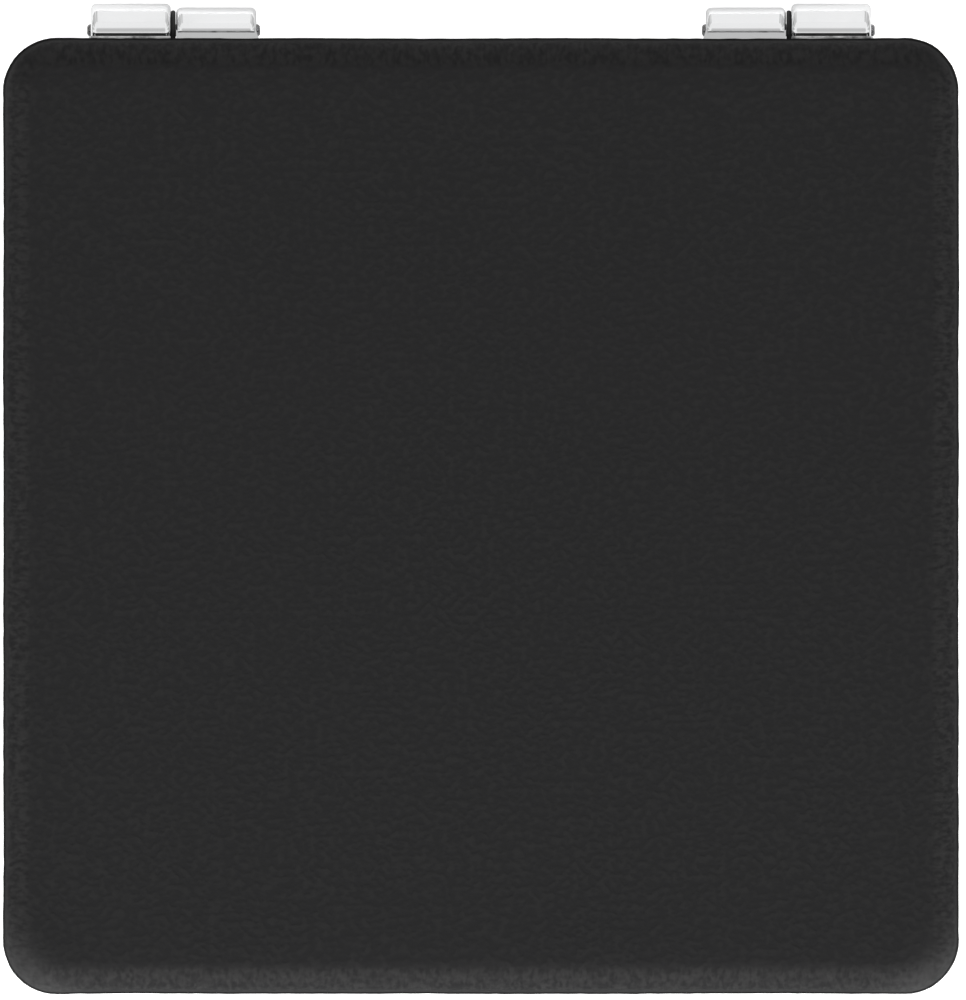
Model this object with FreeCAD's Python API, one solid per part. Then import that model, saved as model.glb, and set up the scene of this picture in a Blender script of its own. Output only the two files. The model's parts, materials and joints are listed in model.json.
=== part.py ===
"""Square compact mirror: two padded covers on hinged frames, with a mirror in each half.

Millimetres. The closed case lies on its base cover, +Z up, hinges at +Y.
The origin is the centre of the face that the case rests on.

Each half is modelled once in its own frame, with Z = 0 on the parting plane and +Z pointing outwards.
The lid is that half lifted to the parting plane, and the base is the half turned over about Y.
"""

import FreeCAD, Part

import math
import os

Vector = FreeCAD.Vector

# Outline of the covers, seen from above
CASE_WIDTH = 62.0
CASE_DEPTH = 62.0
CORNER_RADIUS = 3.5

# Padded cover: leather turned in over foam and a stiff board
LEATHER_THICKNESS = 0.6
FOAM_THICKNESS = 1.0
BOARD_THICKNESS = 0.8
BOARD_INSET = 0.8
TURN_IN_THICKNESS = 0.4
TURN_IN_WIDTH = 5.0
TURN_IN_CORNER_RADIUS = 2.0
FILLER_CLEARANCE = 0.1
EDGE_RADIUS = 2.1
FOLD_RADIUS = 0.5
EDGE_LAND = 0.1

# Mirror, held by double-sided tape
MIRROR_THICKNESS = 1.3
MIRROR_CORNER_RADIUS = 2.0
MIRROR_BEVEL = 0.3
MIRROR_CLEARANCE = 0.1
MIRROR_RECESS = 0.3
TAPE_THICKNESS = 0.25
TAPE_INSET = 1.5

# Disc magnets let into the front rim
MAGNET_DIAMETER = 3.0
MAGNET_THICKNESS = 1.0
MAGNET_CLEARANCE = 0.05
MAGNET_WALL = 0.45
MAGNET_INSET = 11.0

# Cast frame
FRAME_INSET = 0.4
WEB_THICKNESS = 0.3
RIM_GAP = 0.1
RIM_EDGE_RADIUS = 0.25

# Hinges: one knuckle of each half on a common pin, at both ends of the back edge
HINGE_INSET = 11.0
AXIS_OVERHANG = 0.6
KNUCKLE_LENGTH = 5.2
KNUCKLE_GAP = 0.35
BASE_KNUCKLE_RADIUS = 1.75
LID_KNUCKLE_RADIUS = 1.5
KNUCKLE_END_RADIUS = 0.35
KNUCKLE_CLEARANCE = 0.15
ROOT_STEP = 0.12
ROOT_STEP_BACK = 0.05
ROOT_FLARE = 0.3
SLOT_BACK = 0.2
SLOT_WALL = 0.4
SLOT_END_WALL = 0.3
LIP_REACH = 0.2
PIN_DIAMETER = 0.8
PIN_CLEARANCE = 0.04
PIN_PROUD = 0.25
PIN_END_RADIUS = 0.2
WASHER_DIAMETER = 2.6
WASHER_CLEARANCE = 0.05

# Sizes that follow from those above
COVER_THICKNESS = TURN_IN_THICKNESS + BOARD_THICKNESS + FOAM_THICKNESS + LEATHER_THICKNESS
EDGE_ROUNDING = min(EDGE_RADIUS, COVER_THICKNESS - FOLD_RADIUS - EDGE_LAND, CORNER_RADIUS - EDGE_LAND)
PIN_RADIUS = PIN_DIAMETER / 2
WASHER_THICKNESS = KNUCKLE_GAP - WASHER_CLEARANCE
RIM_WIDTH = MAGNET_DIAMETER + 2 * (MAGNET_CLEARANCE + MAGNET_WALL)
FRAME_WIDTH = CASE_WIDTH - 2 * FRAME_INSET
FRAME_DEPTH = CASE_DEPTH - 2 * FRAME_INSET
FRAME_CORNER_RADIUS = CORNER_RADIUS - FRAME_INSET
POCKET_WIDTH = FRAME_WIDTH - 2 * RIM_WIDTH
POCKET_DEPTH = FRAME_DEPTH - 2 * RIM_WIDTH
MIRROR_WIDTH = POCKET_WIDTH - 2 * MIRROR_CLEARANCE
MIRROR_DEPTH = POCKET_DEPTH - 2 * MIRROR_CLEARANCE
AXIS_Y = CASE_DEPTH / 2 + AXIS_OVERHANG
HINGE_OFFSET = CASE_WIDTH / 2 - HINGE_INSET
MAGNET_OFFSET = CASE_WIDTH / 2 - MAGNET_INSET

# Heights above the parting plane of one half
RIM_Z = RIM_GAP / 2
MIRROR_STACK = MIRROR_RECESS + MIRROR_THICKNESS + TAPE_THICKNESS
KNUCKLE_REACH = max(BASE_KNUCKLE_RADIUS, LID_KNUCKLE_RADIUS) + KNUCKLE_CLEARANCE
POCKET_FLOOR_Z = max(KNUCKLE_REACH, RIM_Z + MIRROR_STACK)
FRAME_TOP_Z = POCKET_FLOOR_Z + WEB_THICKNESS
PARTING_Z = COVER_THICKNESS + FRAME_TOP_Z

SIDES = {"left": -1, "right": 1}
TOLERANCE = 1e-6


def rounded_outline(width, depth, radius, z):
    """Closed wire of a rectangle with round corners, centred on the Z axis."""
    half_x = width / 2
    half_y = depth / 2
    diagonal = radius / math.sqrt(2)
    corners = []
    for sign_x, sign_y in ((1, 1), (-1, 1), (-1, -1), (1, -1)):
        centre = Vector(sign_x * (half_x - radius), sign_y * (half_y - radius), z)
        on_side = centre + Vector(sign_x * radius, 0, 0)
        middle = centre + Vector(sign_x * diagonal, sign_y * diagonal, 0)
        on_end = centre + Vector(0, sign_y * radius, 0)
        turns_from_side = sign_x * sign_y > 0
        corners.append((on_side, middle, on_end) if turns_from_side else (on_end, middle, on_side))
    edges = []
    for this, following in zip(corners, corners[1:] + corners[:1]):
        edges.append(Part.Arc(*this).toShape())
        edges.append(Part.LineSegment(this[-1], following[0]).toShape())
    return Part.Wire(edges)


def rounded_block(width, depth, radius, z_low, z_high):
    """Upright block with round corners, centred on the Z axis."""
    face = Part.Face(rounded_outline(width, depth, radius, z_low))
    return face.extrude(Vector(0, 0, z_high - z_low))


def box_between(low, high):
    """Box from its lowest corner to its highest."""
    size = Vector(*high) - Vector(*low)
    return Part.makeBox(size.x, size.y, size.z, Vector(*low))


def edges_at(shape, z):
    """Edges of a shape that lie at one height."""
    return [e for e in shape.Edges if all(abs(v.Point.z - z) < TOLERANCE for v in e.Vertexes)]


def edges_inside(edges, width, depth):
    """Those edges whose ends lie within a centred rectangle."""
    reach_x = width / 2 + TOLERANCE
    reach_y = depth / 2 + TOLERANCE
    return [e for e in edges if all(abs(v.X) < reach_x and abs(v.Y) < reach_y for v in e.Vertexes)]


def cover_cavity():
    """Space inside the turned leather, which the foam and the board fill."""
    bottom = FRAME_TOP_Z + TURN_IN_THICKNESS
    top = FRAME_TOP_Z + COVER_THICKNESS - LEATHER_THICKNESS
    cavity = rounded_block(
        CASE_WIDTH - 2 * LEATHER_THICKNESS,
        CASE_DEPTH - 2 * LEATHER_THICKNESS,
        CORNER_RADIUS - LEATHER_THICKNESS,
        bottom,
        top,
    )
    return cavity.makeFillet(EDGE_ROUNDING - LEATHER_THICKNESS, edges_at(cavity, top))


def turn_in_window(clearance):
    """Block that fills the opening left between the leather's turned-in edges."""
    return rounded_block(
        CASE_WIDTH - 2 * (TURN_IN_WIDTH + clearance),
        CASE_DEPTH - 2 * (TURN_IN_WIDTH + clearance),
        TURN_IN_CORNER_RADIUS,
        FRAME_TOP_Z,
        FRAME_TOP_Z + TURN_IN_THICKNESS,
    )


def leather():
    """Leather skin with a rounded edge, folded under the board all round."""
    top = FRAME_TOP_Z + COVER_THICKNESS
    skin = rounded_block(CASE_WIDTH, CASE_DEPTH, CORNER_RADIUS, FRAME_TOP_Z, top)
    skin = skin.makeFillet(EDGE_ROUNDING, edges_at(skin, top))
    skin = skin.makeFillet(FOLD_RADIUS, edges_at(skin, FRAME_TOP_Z))
    return skin.cut(cover_cavity()).cut(turn_in_window(0))


def board():
    """Stiff board that the leather is drawn over."""
    bottom = FRAME_TOP_Z + TURN_IN_THICKNESS
    inset = LEATHER_THICKNESS + BOARD_INSET
    return rounded_block(
        CASE_WIDTH - 2 * inset,
        CASE_DEPTH - 2 * inset,
        CORNER_RADIUS - inset,
        bottom,
        bottom + BOARD_THICKNESS,
    )


def foam():
    """Thin foam over the board and round its edge."""
    return cover_cavity().cut(board())


def filler_sheet():
    """Adhesive card that levels the turned-in edges and glues the cover to the frame."""
    return turn_in_window(FILLER_CLEARANCE)


def knuckle_span(side, outer):
    """Lowest and highest X of one knuckle: the outer one of a hinge or the inner one."""
    towards = side if outer else -side
    near = side * HINGE_OFFSET + towards * KNUCKLE_GAP / 2
    far = near + towards * KNUCKLE_LENGTH
    return min(near, far), max(near, far)


def mate_span(side, outer):
    """X range left free for the other half's knuckle, with a gap at both of its ends."""
    x_low, x_high = knuckle_span(side, outer)
    return x_low - KNUCKLE_GAP, x_high + KNUCKLE_GAP


def cylinder_on_axis(x_low, x_high, radius):
    """Cylinder along the hinge axis."""
    return Part.makeCylinder(radius, x_high - x_low, Vector(x_low, AXIS_Y, 0), Vector(1, 0, 0))


def knuckle(side, outer, radius):
    """Barrel with round ends and a slot behind, on a root that flares into the frame on one side."""
    x_low, x_high = knuckle_span(side, outer)
    barrel = cylinder_on_axis(x_low, x_high, radius)
    rims = [e for e in barrel.Edges if len(e.Vertexes) == 1]
    barrel = barrel.makeFillet(KNUCKLE_END_RADIUS, rims)

    root_top = radius - ROOT_STEP
    inner_y = AXIS_Y - 2 * radius
    above_root = box_between(
        (x_low, inner_y, root_top), (x_high, AXIS_Y - ROOT_STEP_BACK, 2 * radius)
    )
    slot = box_between(
        (x_low + SLOT_END_WALL, inner_y, -2 * radius),
        (x_high - SLOT_END_WALL, AXIS_Y - SLOT_BACK, -PIN_RADIUS - SLOT_WALL),
    )
    barrel = barrel.cut(above_root).cut(slot)

    wall_y = FRAME_DEPTH / 2 - RIM_WIDTH / 2
    flare_low = ROOT_FLARE if (side > 0) != outer else 0
    flare_high = ROOT_FLARE - flare_low
    corners = [
        Vector(x_low, AXIS_Y, RIM_Z),
        Vector(x_high, AXIS_Y, RIM_Z),
        Vector(x_high + flare_high, FRAME_DEPTH / 2, RIM_Z),
        Vector(x_high + flare_high, wall_y, RIM_Z),
        Vector(x_low - flare_low, wall_y, RIM_Z),
        Vector(x_low - flare_low, FRAME_DEPTH / 2, RIM_Z),
    ]
    root = Part.Face(Part.makePolygon(corners + corners[:1]))
    return barrel.fuse(root.extrude(Vector(0, 0, root_top - RIM_Z)))


def magnet_centre(side):
    """Middle of a magnet's face, on the front rim."""
    return Vector(side * MAGNET_OFFSET, RIM_WIDTH / 2 - FRAME_DEPTH / 2, RIM_Z)


def rim_tray():
    """Shallow tray with a flat rim round the mirror's pocket and a socket for each magnet."""
    tray = rounded_block(FRAME_WIDTH, FRAME_DEPTH, FRAME_CORNER_RADIUS, RIM_Z, FRAME_TOP_Z)
    tray = tray.makeFillet(RIM_EDGE_RADIUS, edges_at(tray, RIM_Z))
    pocket_radius = MIRROR_CORNER_RADIUS + MIRROR_CLEARANCE
    tray = tray.cut(rounded_block(POCKET_WIDTH, POCKET_DEPTH, pocket_radius, RIM_Z, POCKET_FLOOR_Z))
    mouth = edges_inside(edges_at(tray, RIM_Z), POCKET_WIDTH, POCKET_DEPTH)
    tray = tray.makeFillet(RIM_EDGE_RADIUS, mouth)
    for side in SIDES.values():
        socket = MAGNET_DIAMETER / 2 + MAGNET_CLEARANCE
        tray = tray.cut(Part.makeCylinder(socket, MAGNET_THICKNESS, magnet_centre(side)))
    return tray


def frame(outer, radius, mate_radius):
    """Cast frame of one half, with its own knuckles and room for those of the other half."""
    shape = rim_tray()
    for side in SIDES.values():
        x_low, x_high = knuckle_span(side, not outer)
        lip = box_between(
            (x_low, FRAME_DEPTH / 2 - RIM_WIDTH / 2, POCKET_FLOOR_Z),
            (x_high, CASE_DEPTH / 2 + LIP_REACH, FRAME_TOP_Z),
        )
        room = cylinder_on_axis(*mate_span(side, not outer), mate_radius + KNUCKLE_CLEARANCE)
        shape = shape.fuse(lip).cut(room)
    for side in SIDES.values():
        shape = shape.fuse(knuckle(side, outer, radius))
    bore = PIN_RADIUS if outer else PIN_RADIUS + PIN_CLEARANCE
    for side in SIDES.values():
        x_low, x_high = knuckle_span(side, outer)
        shape = shape.cut(cylinder_on_axis(x_low - ROOT_FLARE, x_high + ROOT_FLARE, bore))
    return shape.removeSplitter()


def mirror():
    """Flat glass mirror with a bevelled edge, facing the parting plane."""
    back = POCKET_FLOOR_Z - TAPE_THICKNESS
    front = back - MIRROR_THICKNESS
    glass = rounded_block(MIRROR_WIDTH, MIRROR_DEPTH, MIRROR_CORNER_RADIUS, front, back)
    return glass.makeChamfer(MIRROR_BEVEL, edges_at(glass, front))


def mirror_tape():
    """Double-sided tape between the mirror and the floor of its pocket."""
    return rounded_block(
        MIRROR_WIDTH - 2 * TAPE_INSET,
        MIRROR_DEPTH - 2 * TAPE_INSET,
        MIRROR_CORNER_RADIUS,
        POCKET_FLOOR_Z - TAPE_THICKNESS,
        POCKET_FLOOR_Z,
    )


def magnet(side):
    """Disc magnet, flush with the rim."""
    return Part.makeCylinder(MAGNET_DIAMETER / 2, MAGNET_THICKNESS, magnet_centre(side))


def hinge_pin(side):
    """Pin through both knuckles of a hinge, with rounded ends that stand a little proud."""
    reach = KNUCKLE_GAP / 2 + KNUCKLE_LENGTH + PIN_PROUD
    middle = side * HINGE_OFFSET
    pin = cylinder_on_axis(middle - reach, middle + reach, PIN_RADIUS)
    ends = [e for e in pin.Edges if len(e.Vertexes) == 1]
    return pin.makeFillet(PIN_END_RADIUS, ends)


def hinge_washer(side):
    """Friction washer on the pin, against the inner end of the base's knuckle."""
    seat_x = side * (HINGE_OFFSET + KNUCKLE_GAP / 2)
    free_x = seat_x - side * WASHER_THICKNESS
    ends = min(seat_x, free_x), max(seat_x, free_x)
    return cylinder_on_axis(*ends, WASHER_DIAMETER / 2).cut(cylinder_on_axis(*ends, PIN_RADIUS))


def as_lid(shape):
    """Half lifted onto the parting plane."""
    shape.translate(Vector(0, 0, PARTING_Z))
    return shape


def as_base(shape):
    """Half turned over about Y, below the parting plane."""
    shape.rotate(Vector(0, 0, 0), Vector(0, 1, 0), 180)
    return as_lid(shape)


def half_parts(half, place):
    """Every piece of one half, by name and in place."""
    pieces = {
        "leather": leather(),
        "foam": foam(),
        "board": board(),
        "filler_sheet": filler_sheet(),
        "mirror": mirror(),
        "mirror_tape": mirror_tape(),
    }
    for name, side in SIDES.items():
        turned = side if place is as_lid else -side
        pieces["magnet_" + name] = magnet(turned)
    return {f"{half}_{name}": place(shape) for name, shape in pieces.items()}


def main():
    parts = {**half_parts("base", as_base), **half_parts("lid", as_lid)}
    parts["base_frame"] = as_base(frame(True, BASE_KNUCKLE_RADIUS, LID_KNUCKLE_RADIUS))
    parts["lid_frame"] = as_lid(frame(False, LID_KNUCKLE_RADIUS, BASE_KNUCKLE_RADIUS))
    for name, side in SIDES.items():
        parts["hinge_pin_" + name] = as_lid(hinge_pin(side))
        parts["hinge_washer_" + name] = as_lid(hinge_washer(side))
    os.makedirs("parts", exist_ok=True)
    for name, shape in parts.items():
        shape.exportStep(os.path.join("parts", name + ".step"))
        print(f"{name}: {len(shape.Solids)} solid, {shape.Volume:.2f} mm3, valid {shape.isValid()}")


main()
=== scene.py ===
"""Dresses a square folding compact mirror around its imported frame.

Padded leather covers, chrome-plated frames with hinge knuckles, bevelled mirrors, magnets, pins, washers.
Meshes are shaped in millimetres, in the frame of one half, and then put in place in metres.
"""

import json
import logging
import math
from dataclasses import dataclass, field
from enum import Enum, IntEnum
from functools import reduce
from typing import ClassVar, Iterable, Sequence, Union

import bmesh
import bpy
from bmesh.types import BMEdge, BMesh, BMFace
from bpy.types import Material, Node, NodeSocket, NodeTree, Object
from mathutils import Matrix, Vector, noise


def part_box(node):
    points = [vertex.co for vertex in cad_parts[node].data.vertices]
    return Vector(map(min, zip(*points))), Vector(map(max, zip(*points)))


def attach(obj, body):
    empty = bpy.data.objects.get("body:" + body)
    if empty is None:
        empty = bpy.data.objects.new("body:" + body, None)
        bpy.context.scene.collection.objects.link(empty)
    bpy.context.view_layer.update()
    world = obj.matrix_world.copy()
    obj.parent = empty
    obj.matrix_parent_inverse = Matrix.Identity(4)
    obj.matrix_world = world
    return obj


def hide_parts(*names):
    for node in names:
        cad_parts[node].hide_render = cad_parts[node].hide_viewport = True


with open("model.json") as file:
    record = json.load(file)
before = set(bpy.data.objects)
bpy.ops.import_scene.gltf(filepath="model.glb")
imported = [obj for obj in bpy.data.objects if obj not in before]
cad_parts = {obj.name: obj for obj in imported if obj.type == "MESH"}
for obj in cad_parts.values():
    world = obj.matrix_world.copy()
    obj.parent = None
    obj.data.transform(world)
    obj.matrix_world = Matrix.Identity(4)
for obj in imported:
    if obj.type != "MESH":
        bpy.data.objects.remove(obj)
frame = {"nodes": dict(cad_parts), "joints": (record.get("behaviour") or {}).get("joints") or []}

LOG = logging.getLogger("compact_mirror")

MM = 0.001
NEAR = 1e-4
SHARP_BEND = math.radians(45.0)
CRISP_BEND = math.radians(32.0)
CORNER_FACETS = 12
FACET_CORNERS = 4
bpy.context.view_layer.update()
HINGE_LINE = Vector(frame["joints"][0]["pos_m"]) / MM
WHITE = (1.0, 1.0, 1.0, 1.0)
BLACK = (0.0, 0.0, 0.0, 1.0)

Span = tuple[float, float]
Triple = tuple[float, float, float]
Colour = Triple
Value = Union[NodeSocket, float, Sequence[float]]
Tint = Union[NodeSocket, Colour]


class Half(Enum):
    """The two halves of the case."""

    BASE = "base"
    LID = "lid"

    def node(self, piece: str) -> str:
        """Name of this half's node for a piece."""
        return f"{self.value}_{piece}"

    def placement(self) -> Matrix:
        """Finds where this half lies.

        Returns:
            The matrix from millimetres about the parting plane, +Z outwards, to the row frame.
        """
        lift = Matrix.Translation((0.0, 0.0, HINGE_LINE.z * MM))
        turn = Matrix.Rotation(math.pi, 4, "Y") if self is Half.BASE else Matrix.Identity(4)
        return lift @ turn @ Matrix.Scale(MM, 4)

    def box(self, piece: str) -> tuple[Vector, Vector]:
        """Measures one of this half's nodes, in millimetres about the parting plane.

        Args:
            piece: The piece's name without the half's.

        Returns:
            Its lowest and highest corner.
        """
        back = self.placement().inverted()
        corners = [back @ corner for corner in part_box(self.node(piece))]
        low = Vector(min(axis) for axis in zip(*corners))
        high = Vector(max(axis) for axis in zip(*corners))
        return low, high


class Side(Enum):
    """The two sides of the case, for someone who faces its opening edge."""

    LEFT = "left"
    RIGHT = "right"


class Cut(Enum):
    """How one solid works on another."""

    JOIN = "UNION"
    REMOVE = "DIFFERENCE"


class Zone(IntEnum):
    """Surfaces of a casting that differ in finish, by material slot; the two besides the plating are
    painted shade.
    """

    PLATED = 0
    RECESS = 1
    CREASE = 2


class Sum(Enum):
    """What a finish works out from one or two numbers."""

    ADD = "ADD"
    SUBTRACT = "SUBTRACT"
    MULTIPLY = "MULTIPLY"
    DIVIDE = "DIVIDE"
    ABSOLUTE = "ABSOLUTE"
    MAXIMUM = "MAXIMUM"
    COSINE = "COSINE"
    BEARING = "ARCTAN2"


class Drift(Enum):
    """What a random field gives."""

    NUMBER = "Fac"
    VECTOR = "Color"


def edges_at(bm: BMesh, z: float) -> list[BMEdge]:
    """Edges that lie at one height in millimetres."""
    return [e for e in bm.edges if all(abs(v.co.z - z) < NEAR for v in e.verts)]


def round_ends(bm: BMesh) -> list[BMFace]:
    """Flat ends of a round bar, which have more corners than its facets."""
    return [f for f in bm.faces if len(f.verts) > FACET_CORNERS]


def round_edges(bm: BMesh, edges: Iterable[BMEdge], radius: float, segments: int) -> None:
    """Rounds edges to a radius.

    Args:
        bm: Mesh that is changed.
        edges: Edges to round.
        radius: Radius in millimetres.
        segments: Facets round the edge.
    """
    bmesh.ops.bevel(
        bm, geom=list(edges), offset=radius, affect="EDGES", segments=segments, profile=0.5, material=-1
    )


def slice_at(bm: BMesh, place: Vector, direction: Vector) -> None:
    """Divides the faces of a mesh along a plane, given by one of its points and its normal."""
    geometry = [*bm.verts, *bm.edges, *bm.faces]
    bmesh.ops.bisect_plane(bm, geom=geometry, dist=NEAR, plane_co=place, plane_no=direction)


def box_between(low: Vector, high: Vector) -> BMesh:
    """Makes a box.

    Args:
        low: Its lowest corner in millimetres.
        high: Its highest corner in millimetres.

    Returns:
        A new mesh.
    """
    bm = bmesh.new()
    bmesh.ops.create_cube(bm, size=1.0)
    bmesh.ops.scale(bm, vec=high - low, verts=bm.verts)
    bmesh.ops.translate(bm, vec=(low + high) / 2, verts=bm.verts)
    return bm


def rounded_block(reach: Vector, radius: float, low: float, high: float) -> BMesh:
    """Makes an upright block with round corners, centred on the Z axis.

    Args:
        reach: Half its size along X and Y.
        radius: Radius of the upright corners.
        low: Height of its underside.
        high: Height of its top.

    Returns:
        A new mesh.
    """
    bm = box_between(Vector((-reach.x, -reach.y, low)), Vector((reach.x, reach.y, high)))
    upright = [e for e in bm.edges if abs(e.verts[0].co.z - e.verts[1].co.z) > NEAR]
    round_edges(bm, upright, radius, CORNER_FACETS)
    return bm


def rod(radius: float, length: float, facets: int) -> BMesh:
    """Makes a round bar along Z, centred on the origin.

    Args:
        radius: Its radius.
        length: Its length.
        facets: Facets round it.

    Returns:
        A new mesh.
    """
    bm = bmesh.new()
    bmesh.ops.create_cone(
        bm, cap_ends=True, cap_tris=False, segments=facets, radius1=radius, radius2=radius, depth=length
    )
    return bm


def along_hinge(bm: BMesh, middle_x: float) -> BMesh:
    """Turns a bar that lies along Z onto the hinge line.

    Args:
        bm: Bar to move.
        middle_x: Where its middle goes along X.

    Returns:
        The same mesh.
    """
    turn = Matrix.Rotation(math.pi / 2, 4, "Y")
    place = Matrix.Translation((middle_x, HINGE_LINE.y, 0.0)) @ turn
    bmesh.ops.transform(bm, matrix=place, verts=bm.verts)
    return bm


def as_object(bm: BMesh, name: str) -> Object:
    """Turns a mesh into an object of the scene.

    Args:
        bm: Mesh to use, which is freed.
        name: Name of the object and its mesh.

    Returns:
        The new object.
    """
    mesh = bpy.data.meshes.new(name)
    bm.to_mesh(mesh)
    bm.free()
    piece = bpy.data.objects.new(name, mesh)
    bpy.context.scene.collection.objects.link(piece)
    return piece


def in_place(bm: BMesh, half: Half, name: str, *finishes: Material) -> Object:
    """Makes an object of a mesh that was shaped in the frame of one half.

    Args:
        bm: Mesh to use, which is freed.
        half: The half whose frame it was shaped in.
        name: Name of the object.
        finishes: Its materials in order.

    Returns:
        The new object.
    """
    bmesh.ops.transform(bm, matrix=half.placement(), verts=bm.verts)
    piece = as_object(bm, name)
    for finish in finishes:
        piece.data.materials.append(finish)
    return piece


def carve(piece: Object, tools: Iterable[Object], cut: Cut) -> None:
    """Joins solids to a piece or takes them away from it.

    Args:
        piece: Object whose mesh is replaced.
        tools: Closed solids, which are used up.
        cut: What they do.
    """
    for tool in tools:
        step = piece.modifiers.new("cut", "BOOLEAN")
        step.operation = cut.value
        step.solver = "EXACT"
        step.object = tool
        graph = bpy.context.evaluated_depsgraph_get()
        made = bpy.data.meshes.new_from_object(piece.evaluated_get(graph))
        piece.modifiers.remove(step)
        worn, spent = piece.data, tool.data
        piece.data = made
        bpy.data.objects.remove(tool)
        bpy.data.meshes.remove(worn)
        bpy.data.meshes.remove(spent)
        made.name = piece.name


def smooth_all(piece: Object) -> None:
    """Gives every face of a piece smooth shading."""
    piece.data.polygons.foreach_set("use_smooth", [True] * len(piece.data.polygons))


def mark_corners(piece: Object) -> None:
    """Keeps the edges of a hard piece crisp and its flat faces flat.

    Args:
        piece: Object whose mesh is changed.
    """
    bm = bmesh.new()
    bm.from_mesh(piece.data)
    bmesh.ops.remove_doubles(bm, verts=bm.verts, dist=NEAR * MM)
    for edge in bm.edges:
        edge.smooth = edge.calc_face_angle(math.pi) < CRISP_BEND
    bm.to_mesh(piece.data)
    bm.free()
    smooth_all(piece)
    flat = piece.modifiers.new("flat_faces", "WEIGHTED_NORMAL")
    flat.keep_sharp = True


def settle(piece: Object, body: str, stands_for: str) -> Object:
    """Puts a finished piece on its body, in place of a CAD node.

    Args:
        piece: Object whose place is in its mesh.
        body: Body that it moves with.
        stands_for: CAD node that it replaces.

    Returns:
        The piece.
    """
    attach(piece, body)
    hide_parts(stands_for)
    LOG.info("%s: %d faces, on %s for %s", piece.name, len(piece.data.polygons), body, stands_for)
    return piece


@dataclass(frozen=True)
class Step:
    """Smooth step: where it starts and ends, and the result before and after it."""

    start: float
    end: float
    low: float = 0.0
    high: float = 1.0


class Nodes:
    """Node tree of a finish or of the sky."""

    def __init__(self, tree: NodeTree) -> None:
        """Takes up a tree."""
        self.tree = tree

    def node(self, kind: str, **settings: object) -> Node:
        """Adds a node.

        Args:
            kind: Its type.
            settings: Its options.

        Returns:
            The new node.
        """
        made = self.tree.nodes.new(kind)
        for name, value in settings.items():
            setattr(made, name, value)
        return made

    def feed(self, socket: NodeSocket, value: Value) -> None:
        """Links a socket to another, or sets its value.

        Args:
            socket: Input to feed.
            value: Output or constant that it takes.
        """
        if isinstance(value, NodeSocket):
            self.tree.links.new(value, socket)
        else:
            socket.default_value = value

    def result(
        self, kind: str, output: str, inputs: dict[Union[str, int], Value], **settings: object
    ) -> NodeSocket:
        """Adds a node and feeds it.

        Args:
            kind: Its type.
            output: Name of the output that is wanted.
            inputs: What its inputs take, by name or number.
            settings: Its options.

        Returns:
            That output.
        """
        made = self.node(kind, **settings)
        for name, value in inputs.items():
            self.feed(made.inputs[name], value)
        return made.outputs[output]

    def axes(self, vector: NodeSocket) -> dict[str, NodeSocket]:
        """Takes a vector apart.

        Args:
            vector: Place or direction.

        Returns:
            Its parts along X, Y and Z, by name.
        """
        made = self.node("ShaderNodeSeparateXYZ")
        self.feed(made.inputs[0], vector)
        return {name: made.outputs[name] for name in "XYZ"}

    def ramp(self, value: NodeSocket, step: Step) -> NodeSocket:
        """Steps smoothly between two results.

        Args:
            value: What is measured.
            step: The step.

        Returns:
            The stepped value.
        """
        inputs = {
            "Value": value,
            "From Min": step.start,
            "From Max": step.end,
            "To Min": step.low,
            "To Max": step.high,
        }
        return self.result("ShaderNodeMapRange", "Result", inputs, interpolation_type="SMOOTHSTEP")


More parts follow.
